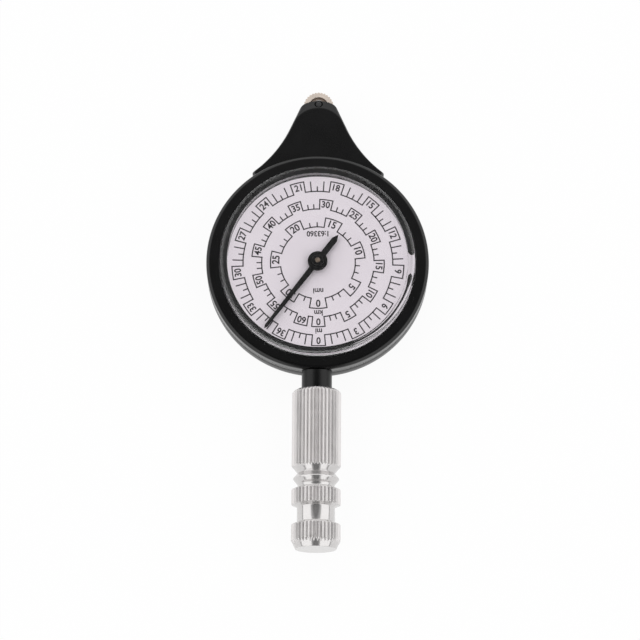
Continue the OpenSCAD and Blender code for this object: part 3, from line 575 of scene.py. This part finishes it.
# The painted shade band is shifted, squeezed oval and thinned angle by angle to follow the dark in the
# window's rim.
for corner in dial.data.vertices:
    reach, angle = corner.co.xy.length / MM, math.degrees(math.atan2(corner.co.y, corner.co.x))
    for ring_r, edge in ((SHADE_BAND_R, INNER_EDGE), (SHADE_BAND_OUT_R, OUTER_EDGE)):
        if math.isclose(reach, ring_r, abs_tol=0.01):
            spread = interp(angle, *zip(*edge)) / ring_r
            corner.co.x *= spread
            corner.co.y *= spread * SHADE_BAND_SQUEEZE
            corner.co += SHADE_BAND_SHIFT * MM
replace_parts(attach(dial, "case"), "dial")

INK_TOP = 6.512
LINE_W = 0.23
ZERO_ANGLE, ARC_STEP = 270.8, 1.5
PRINT_SHIFT = (0.06, -0.14, 0)
LAST_GAP = 0.3
MARK_H = 1.1


def printed(mesh, outer, inner):
    """Thin band of ink between two open lines of (radius, angle) points of one length."""
    def spots(line, z):
        return [(r * math.cos(math.radians(a)), r * math.sin(math.radians(a)), z) for r, a in line]
    corners = ((outer, DIAL_TOP), (outer, INK_TOP), (inner, INK_TOP), (inner, DIAL_TOP))
    skin(mesh, list(zip(*(spots(line, z) for line, z in corners))))


def arc_points(r, start, end, steps):
    """Points of an arc as (radius, angle), between two angles in degrees."""
    return [(r, start + (end - start) * i / steps) for i in range(steps + 1)]


def stepped_line(mesh, base_r, tab_r, tabs, tab_half):
    """Ring line that steps out round each tab, as a band of ink for each stretch between two tabs."""
    half = LINE_W / 2
    for here, there in zip(tabs, tabs[1:] + [tabs[0] + 360]):
        tab_steps = math.ceil(tab_half / ARC_STEP)
        base_steps = math.ceil((there - here - 2 * tab_half) / ARC_STEP)
        lines = []
        for side in (half, -half):
            base, tab = base_r + side, tab_r + side
            lean_base, lean_tab = math.degrees(side / base_r), math.degrees(side / tab_r)
            line = arc_points(tab, here, here + tab_half + lean_tab, tab_steps)
            line += arc_points(base, here + tab_half + lean_base, there - tab_half - lean_base, base_steps)
            lines.append(line + arc_points(tab, there - tab_half - lean_tab, there, tab_steps))
        printed(mesh, *lines)


def tick(mesh, angle, foot, head):
    """Short mark with parallel sides, from one radius out to another."""
    lean_foot, lean_head = (math.degrees(LINE_W / 2 / r) for r in (foot, head))
    printed(mesh, [(foot, angle + lean_foot), (head, angle + lean_head)],
            [(foot, angle - lean_foot), (head, angle - lean_head)])


def lettering(mesh, text, height, r, angle, tops_out=True):
    """Bold lettering laid on the dial at a radius and angle, with its tops outwards or inwards."""
    digit_h, digit_middle, narrowing, boldness = 0.73, 0.36, 0.92, 0.025
    curve = bpy.data.curves.new("lettering", "FONT")
    curve.body, curve.extrude, curve.resolution_u, curve.offset = text, 0.5, 4, boldness
    writing = bpy.data.objects.new("lettering", curve)
    bpy.context.scene.collection.objects.link(writing)
    data = bpy.data.meshes.new_from_object(writing.evaluated_get(bpy.context.evaluated_depsgraph_get()))
    low = Vector(min(v.co[i] for v in data.vertices) for i in range(3))
    high = Vector(max(v.co[i] for v in data.vertices) for i in range(3))
    tall = height / digit_h
    size = Matrix.Diagonal((narrowing * tall, tall, (INK_TOP - DIAL_TOP) / (high.z - low.z), 1))
    turn = Matrix.Rotation(math.radians(angle + (-90 if tops_out else 90)), 4, "Z")
    spot = (r * math.cos(math.radians(angle)), r * math.sin(math.radians(angle)), (DIAL_TOP + INK_TOP) / 2)
    centre = Vector(((low.x + high.x) / 2, digit_middle, (low.z + high.z) / 2))
    data.transform(Matrix.Translation(spot) @ turn @ size @ Matrix.Translation(-centre))
    mesh.from_mesh(data)
    bpy.data.objects.remove(writing)
    bpy.data.meshes.remove(data)
    bpy.data.curves.remove(curve)


def scale_print(mesh, full, last, step, tab_half, base_r, tab_r, digit_h, digit_r, ticks):
    """One ring scale: numbers every step up to the last, on a full circle of this many units. Each tick is
    given by its distance from the number before it and by the radius of its head."""
    unit = 360 / full
    numbers = list(range(0, last + 1, step))
    stepped_line(mesh, base_r, tab_r, [ZERO_ANGLE + n * unit for n in numbers], tab_half * unit)
    for n in numbers:
        lettering(mesh, str(n), digit_h, digit_r, ZERO_ANGLE + n * unit)
        for offset, head in ticks:
            if n + offset < full - tab_half - LAST_GAP:
                tick(mesh, ZERO_ANGLE + (n + offset) * unit, base_r, head)


ink = bmesh.new()
scale_print(ink, full=39, last=36, step=3, tab_half=0.5, base_r=14.45, tab_r=16.6, digit_h=1.34,
            digit_r=15.6, ticks=((1, 16.5), (1.5, 15.45), (2, 16.5)))
scale_print(ink, full=62.76, last=60, step=5, tab_half=1, base_r=10.85, tab_r=12.8, digit_h=1.34,
            digit_r=11.86, ticks=((2, 11.85), (3, 11.85)))
scale_print(ink, full=33.89, last=30, step=5, tab_half=1, base_r=7.22, tab_r=9.15, digit_h=1.42,
            digit_r=8.18, ticks=((2, 8.15), (3, 8.15)))
for text, r, angle, tops_out in (("mi", 13.72, 271, True), ("km", 10.08, 271, True),
                                 ("nmi", 5.7, 271, True), ("1:63360", 5.8, 91, False)):
    lettering(ink, text, MARK_H, r, angle, tops_out)
bmesh.ops.remove_doubles(ink, verts=ink.verts[:], dist=1e-5)
bmesh.ops.translate(ink, verts=ink.verts[:], vec=PRINT_SHIFT)
dial_print = new_piece("dial_print", ink)
dress(dial_print, moulded("dial_ink", (0.012, 0.010, 0.012), (0.025, 0.020, 0.024), rough=(0.4, 0.6),
                          bump=0.1, grain=6000.0))
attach(dial_print, "case")

# Centre arbor and pointer: a turned brass arbor comes up through the dial, and the pointer is pressed on
# it. The pointer is stamped and turned metal painted black: a disc with a collar, a long arm and a pointed
# tail.
ARBOR_FOOT, ARBOR_TOP = heights("centre_arbor")
ARBOR_R, PIVOT_R, PIVOT_TOP = 0.75, 0.5, 1.05
TIP_R, TIP_Z, TIP_LEAD, TIP_FACE_R = 0.5, 7.6, 0.08, 0.2
ARBOR_EDGE, ARBOR_ROUND = 0.1, 0.05
arbor = turned("centre_arbor_pin", [(0, ARBOR_FOOT)]
               + soften([(PIVOT_R - ARBOR_EDGE, ARBOR_FOOT), (PIVOT_R, ARBOR_FOOT + ARBOR_EDGE),
                         (PIVOT_R, PIVOT_TOP), (ARBOR_R, PIVOT_TOP), (ARBOR_R, TIP_Z), (TIP_R, TIP_Z),
                         (TIP_R, ARBOR_TOP - TIP_LEAD), (TIP_R - ARBOR_EDGE, ARBOR_TOP),
                         (TIP_FACE_R, ARBOR_TOP)], ARBOR_ROUND)
               + [(0, ARBOR_TOP)], steps=64)
shade(arbor)
dress(arbor, arbor_brass)
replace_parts(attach(arbor, "pointer_train"), "centre_arbor")

HUB_Z, HUB_TOP = heights("pointer")
HUB_R, DISC_TOP, COLLAR_R = 1.9, 7.5, 1.15
HUB_EDGE, HUB_LEAD, DISC_LEAD, HUB_ROUND = 0.1, 0.05, 0.06, 0.04
PRESS_GAP = 0.02
ARM_HALF, ARM_TIP_HALF = 0.585, 0.3
TAIL_END, TAIL_BEND, TIP_BEND, TIP_END = -6.6, -5.43, 16.25, 16.85
POINT_TRIM = 1.6
ARM_EYE_R = 1.5
ARM_LEVELS = ((7.0, 0.06), (7.06, 0), (7.32, 0), (7.4, 0.09))
POINTER_REST = 233


def arm_outline(trim):
    """Outline of the long arm with its tail, with its edge cut back by the trim."""
    half, tip_half = ARM_HALF - trim, ARM_TIP_HALF - trim
    return [(TAIL_END + POINT_TRIM * trim, 0), (TAIL_BEND, -half), (0, -half), (TIP_BEND, -tip_half),
            (TIP_END - POINT_TRIM * trim, 0), (TIP_BEND, tip_half), (0, half), (TAIL_BEND, half)]


eye_r, tip_eye_r, eye_z = ARBOR_R + PRESS_GAP, TIP_R + PRESS_GAP, TIP_Z + PRESS_GAP
pointer = turned("pointer_painted", [(eye_r, HUB_Z)]
                 + soften([(HUB_R - HUB_EDGE, HUB_Z), (HUB_R, HUB_Z + HUB_LEAD),
                           (HUB_R, DISC_TOP - DISC_LEAD), (HUB_R - HUB_EDGE, DISC_TOP),
                           (COLLAR_R + HUB_LEAD, DISC_TOP), (COLLAR_R, DISC_TOP + HUB_LEAD),
                           (COLLAR_R, HUB_TOP - HUB_EDGE), (COLLAR_R - HUB_EDGE, HUB_TOP),
                           (TIP_R + HUB_EDGE, HUB_TOP)], HUB_ROUND)
                 + [(tip_eye_r, HUB_TOP - HUB_LEAD), (tip_eye_r, eye_z), (eye_r, eye_z)], steps=96)
arms = loft("arms", [at_height(arm_outline(trim), z) for z, trim in ARM_LEVELS])
combine(arms, rods("arm_eye", [(0, 0, ARM_EYE_R, 0, CLEAR_Z)]), "DIFFERENCE")
combine(pointer, arms, "UNION")
pointer.data.transform(Matrix.Rotation(math.radians(POINTER_REST), 4, "Z"))
shade(pointer)
dress(pointer, moulded("pointer_paint", (0.002, 0.002, 0.002), (0.004, 0.004, 0.004), rough=(0.35, 0.5),
                       bump=0.15, grain=7000.0, gloss=0.3))
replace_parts(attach(pointer, "pointer_train"), "pointer")

# Crystal: the clear window, one moulding of polished acrylic. A flange lies on the rim of the dial under
# the bezel ring, and the flat front with its rounded edge stands out of the ring.
CRYSTAL_IN_R, CRYSTAL_R, CRYSTAL_EDGE_R = 17.45, 18.75, 0.7
CRYSTAL_FOOT, CRYSTAL_IN_Z, CRYSTAL_TOP = 6.515, 8.4, 9.5
FLANGE_TOP = 7.09
FLAT_LEAD, WALL_LEAD, CORNER_ROUND = 0.5, 0.3, 0.06
front_r = CRYSTAL_R - CRYSTAL_EDGE_R
crystal_profile = ([(0, CRYSTAL_IN_Z)]
                   + soften([(CRYSTAL_IN_R - FLAT_LEAD, CRYSTAL_IN_Z), (CRYSTAL_IN_R, CRYSTAL_IN_Z),
                             (CRYSTAL_IN_R, CRYSTAL_FOOT), (DIAL_R, CRYSTAL_FOOT), (DIAL_R, FLANGE_TOP),
                             (CRYSTAL_R, FLANGE_TOP), (CRYSTAL_R, FLANGE_TOP + WALL_LEAD)], CORNER_ROUND)
                   + arc((front_r, CRYSTAL_TOP - CRYSTAL_EDGE_R), CRYSTAL_EDGE_R, 0, 90, 14)
                   + [(front_r - CORNER_ROUND, CRYSTAL_TOP), (0, CRYSTAL_TOP)])
crystal = turned("crystal_window", crystal_profile, steps=512)
shade(crystal)


def clear_plastic():
    """Polished clear acrylic with faint hazy patches, which lets the studio light through to the dial."""
    material, tree, out = new_material("clear_acrylic")
    finish = add(tree, "ShaderNodeGroup", {"Grain": 900.0, "Low": 0.0, "High": 0.03},
                 node_tree=moulded_grain).outputs
    colour = two_tone(tree, finish["Tone"], (0.97, 0.97, 0.98), (1.0, 1.0, 1.0))
    glass = add(tree, "ShaderNodeBsdfPrincipled", {"Base Color": colour, "IOR": 1.49,
                                                   "Roughness": finish["Roughness"],
                                                   "Transmission Weight": 1.0})
    light = add(tree, "ShaderNodeBsdfTransparent")
    ray = add(tree, "ShaderNodeLightPath").outputs
    lit = maths(tree, "MAXIMUM", ray["Is Shadow Ray"], ray["Is Diffuse Ray"])
    both = add(tree, "ShaderNodeMixShader", {0: lit, 1: glass.outputs[0], 2: light.outputs[0]})
    tree.links.new(both.outputs[0], out.inputs[0])
    return material


dress(crystal, clear_plastic())
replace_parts(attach(crystal, "case"), "crystal")

# Bezel ring: a smooth black ring, moulded and pushed over the step of the cover. Its lip holds down the
# flange of the crystal, its front is flat, and its outer shoulder is rounded.
BEZEL_Z, BEZEL_FRONT = heights("bezel_ring")
SKIRT_R, SHOULDER_R, SKIRT_EDGE = 20.05, 0.75, 0.08
LIP_R, LIP_Z, LIP_EDGE_R = 18.87, 7.1, 0.3
FRONT_LEAD = 0.06
front_out_r, front_in_r = CASE_R - SHOULDER_R, LIP_R + LIP_EDGE_R
bezel_profile = ([(SKIRT_R, BEZEL_Z), (CASE_R - SKIRT_EDGE, BEZEL_Z), (CASE_R, BEZEL_Z + SKIRT_EDGE)]
                 + arc((front_out_r, BEZEL_FRONT - SHOULDER_R), SHOULDER_R, 0, 90, 16)
                 + [(front_out_r - FRONT_LEAD, BEZEL_FRONT), (front_in_r + FRONT_LEAD, BEZEL_FRONT)]
                 + arc((front_in_r, BEZEL_FRONT - LIP_EDGE_R), LIP_EDGE_R, 90, 180, 8)
                 + [(LIP_R, LIP_Z), (SKIRT_R, LIP_Z)])
bezel = turned("bezel_ring_moulded", bezel_profile, steps=384)
shade(bezel)
dress(bezel, moulded("bezel_black", (0.0018, 0.0018, 0.0019), (0.0028, 0.0028, 0.0030), rough=(0.2, 0.26),
                     bump=0.04, gloss=0.45))
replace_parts(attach(bezel, "case"), "bezel_ring")

# Handle: turned from bright aluminium bar and pressed on the spigot. The long grip, the band and the knob
# are cut with straight ridges, and the grooves, the waist and the cones between them are left smooth and
# bright. Places along the handle are counted from its end at the neck.
HANDLE_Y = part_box("handle")[1][1] / MM
HANDLE_R, GROOVE_R, CREST_R, WAIST_R, END_R = 4.675, 3.55, 4.375, 3.61, 3.91
BORE_R, BORE_L, MOUTH_L, MOUTH_R = 2.32, 13.0, 0.25, 2.55
TOP_BEVEL, TOP_FACE, END_FACE = 0.5, 1.0, 0.6
GRIP_L, GROOVE_S, CREST_S, BACK_GROOVE_S = 14.7, 16.1, 17.2, 18.3
BAND_S, WAIST_S, KNOB_S, KNOB_END_S, HANDLE_L = 18.8, 22.6, 25.5, 29.0, 30.6
STEP_L, CREST_HALF = 0.5, 0.1
EDGE_ROUND, RISE_STEP = 0.08, 0.09
RIDGED = ((0, GROOVE_S), (BAND_S, WAIST_S), (KNOB_S, HANDLE_L))
RIDGES = 40
RIDGE_CREST_R, RIDGE_VALLEY_R = 4.735, 4.375
RIDGE_SHARES = (-1, -0.75, -0.45, -0.17, 0.17, 0.45, 0.75)


def stepped(path, rise):
    """Splits the sloping stretches of a profile, so that the ridges run out on them."""
    fine_path = [Vector(path[0])]
    for here, there in zip(map(Vector, path), map(Vector, path[1:])):
        steps = max(1, round(abs(there.y - here.y) / rise))
        fine_path += [here.lerp(there, i / steps) for i in range(1, steps + 1)]
    return fine_path


handle_profile = stepped(soften([
    (0, HANDLE_R - TOP_FACE), (0, HANDLE_R - TOP_BEVEL), (TOP_BEVEL, HANDLE_R), (GRIP_L, HANDLE_R),
    (GROOVE_S, GROOVE_R), (CREST_S - CREST_HALF, CREST_R), (CREST_S + CREST_HALF, CREST_R),
    (BACK_GROOVE_S, GROOVE_R), (BAND_S, GROOVE_R), (BAND_S + STEP_L, HANDLE_R), (WAIST_S - STEP_L, HANDLE_R),
    (WAIST_S, WAIST_R), (KNOB_S, WAIST_R), (KNOB_S + STEP_L, HANDLE_R), (KNOB_END_S, HANDLE_R),
    (HANDLE_L, END_R), (HANDLE_L, END_R - END_FACE)], EDGE_ROUND, steps=3), RISE_STEP)


def ridge_radius(share):
    """Radius of the ridges at a share from the crest, 0, to the valley, 1, along a straight flank."""
    half = math.pi / RIDGES
    crest = Vector((RIDGE_CREST_R, 0))
    valley = RIDGE_VALLEY_R * Vector((math.cos(half), math.sin(half)))
    run = valley - crest
    turn = share * half
    away = Vector((math.sin(turn), -math.cos(turn)))
    return (crest - run * (crest.dot(away) / run.dot(away))).length


def handle_mesh():
    """Skin of the handle from the bottom of its bore to its end face, with the ridged faces marked."""
    mesh = bmesh.new()
    columns = []
    for ridge in range(RIDGES):
        for share in RIDGE_SHARES:
            columns.append((2 * math.pi * (ridge + share / 2) / RIDGES, ridge_radius(abs(share))))
    cut = set()

    def row(s, r):
        ridged = any(start <= s <= end for start, end in RIDGED)
        points = []
        for turn, limit in columns:
            reach = min(r, limit) if ridged else r
            spot = (reach * math.cos(turn), HANDLE_Y - s, HANDLE_Z + reach * math.sin(turn))
            points.append(mesh.verts.new(spot))
            if reach < r:
                cut.add(points[-1])
        return points

    rows = [[mesh.verts.new((0, HANDLE_Y - BORE_L, HANDLE_Z))] * len(columns)]
    rows += [row(BORE_L, BORE_R), row(MOUTH_L, BORE_R), row(0, MOUTH_R)]
    rows += [row(s, r) for s, r in handle_profile]
    rows.append([mesh.verts.new((0, HANDLE_Y - HANDLE_L, HANDLE_Z))] * len(columns))
    for low, high in zip(rows, rows[1:]):
        for i in range(len(columns)):
            face = mesh.faces.new(list(dict.fromkeys((low[i - 1], low[i], high[i], high[i - 1]))))
            face.material_index = int(any(corner in cut for corner in face.verts))
    return mesh


handle = new_piece("handle_turned", handle_mesh())
shade(handle, angle=25)
ridged_faces = [face.material_index for face in handle.data.polygons]
dress(handle, turned_metal("handle_bright", (0.59, 0.575, 0.57), (0.67, 0.655, 0.65), rough=(0.07, 0.12),
                           bump=0.3, axis="Y", density=7000.0, metal=0.76))
handle.data.materials.append(
    turned_metal("handle_ridges", (0.62, 0.60, 0.595), (0.74, 0.72, 0.715), rough=(0.40, 0.52), bump=0.3,
                 axis="Y", density=5000.0))
handle.data.polygons.foreach_set("material_index", ridged_faces)
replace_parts(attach(handle, "case"), "handle")

# Studio: a white table under the tool, an even white surround that is darker at the horizon and in a patch
# above, which runs down on the side of the handle, and a long lens that looks down on the dial from that
# side.
TABLE_HALF, TABLE_Z = 900, -0.05
GLOW_SHARE = 0.94
table_mesh = bmesh.new()
bmesh.ops.create_grid(table_mesh, x_segments=2, y_segments=2, size=TABLE_HALF,
                      matrix=Matrix.Translation((0, 0, TABLE_Z)))
table = new_piece("table", table_mesh)
table_white, tree, out = new_material("table_white")
cloud = noise(tree, add(tree, "ShaderNodeTexCoord").outputs["Object"], scale=30.0, detail=2.0)
board = add(tree, "ShaderNodeBsdfPrincipled", {
    "Base Color": two_tone(tree, cloud, (0.93, 0.93, 0.93), (0.95, 0.95, 0.95)), "Roughness": 0.9,
    "Specular IOR Level": 0.0})
glow = add(tree, "ShaderNodeEmission", {"Strength": 1.0})
ray = add(tree, "ShaderNodeLightPath").outputs
seen = maths(tree, "MAXIMUM", maths(tree, "MAXIMUM", ray["Is Camera Ray"], ray["Is Glossy Ray"]),
             ray["Is Transmission Ray"])
share = maths(tree, "MULTIPLY", seen, GLOW_SHARE)
both = add(tree, "ShaderNodeMixShader", {0: share, 1: board.outputs[0], 2: glow.outputs[0]})
tree.links.new(both.outputs[0], out.inputs[0])
dress(table, table_white)

PATCH_EDGE, PATCH_LEVEL, SURROUND_LEVEL = (0.46, 0.60), 0.42, 1.45
CORE_EDGE, CORE_SHARE = (0.30, 0.42), 0.15
HORIZON_EDGE, HORIZON_SHARE = (0.0, 0.14), 0.05
world = bpy.data.worlds.new("studio")
bpy.context.scene.world = world
world.use_nodes = True
tree = world.node_tree
tree.nodes.clear()
direction = add(tree, "ShaderNodeTexCoord").outputs["Generated"]
aim = add(tree, "ShaderNodeSeparateXYZ", {0: direction}).outputs
ahead = maths(tree, "MAXIMUM", aim["Y"], 0.0)
behind = maths(tree, "SUBTRACT", ahead, aim["Y"])
beside = maths(tree, "MULTIPLY", aim["X"], maths(tree, "ADD", behind, 1.0))
offset = add(tree, "ShaderNodeCombineXYZ", {"X": beside, "Y": ahead}).outputs[0]
away = add(tree, "ShaderNodeVectorMath", {0: offset}, operation="LENGTH").outputs["Value"]
patch = remap(tree, away, PATCH_EDGE, PATCH_LEVEL, SURROUND_LEVEL, interpolation_type="SMOOTHSTEP")
core = remap(tree, away, CORE_EDGE, CORE_SHARE, 1.0)
horizon = remap(tree, aim["Z"], HORIZON_EDGE, HORIZON_SHARE, 1.0)
bright = maths(tree, "MULTIPLY", maths(tree, "MULTIPLY", patch, core), horizon)
ray = add(tree, "ShaderNodeLightPath").outputs
level = add(tree, "ShaderNodeMix", {"Factor": ray["Is Camera Ray"], 2: bright, 3: 1.0})
sky = add(tree, "ShaderNodeBackground", {"Color": (1, 1, 1, 1), "Strength": level.outputs[0]})
tree.links.new(sky.outputs[0], add(tree, "ShaderNodeOutputWorld").inputs[0])

LOOK_AT, LOOK_DISTANCE = Vector((0.537, -10.558, 3.0)), 500
LOOK_TILT, LOOK_ROLL = math.radians(15.142), math.radians(0.364)
lens = bpy.data.cameras.new("camera")
lens.sensor_width, lens.lens = 36, 145.42
lens.clip_start, lens.clip_end = 0.05, 10
camera = bpy.data.objects.new("camera", lens)
bpy.context.scene.collection.objects.link(camera)
look_from = LOOK_AT + LOOK_DISTANCE * Vector((0, -math.sin(LOOK_TILT), math.cos(LOOK_TILT)))
camera.matrix_world = (Matrix.Translation(look_from * MM) @ Matrix.Rotation(LOOK_TILT, 4, "X")
                       @ Matrix.Rotation(LOOK_ROLL, 4, "Z"))
bpy.context.scene.camera = camera
bpy.context.scene.view_settings.view_transform = "Standard"

bpy.context.view_layer.update()
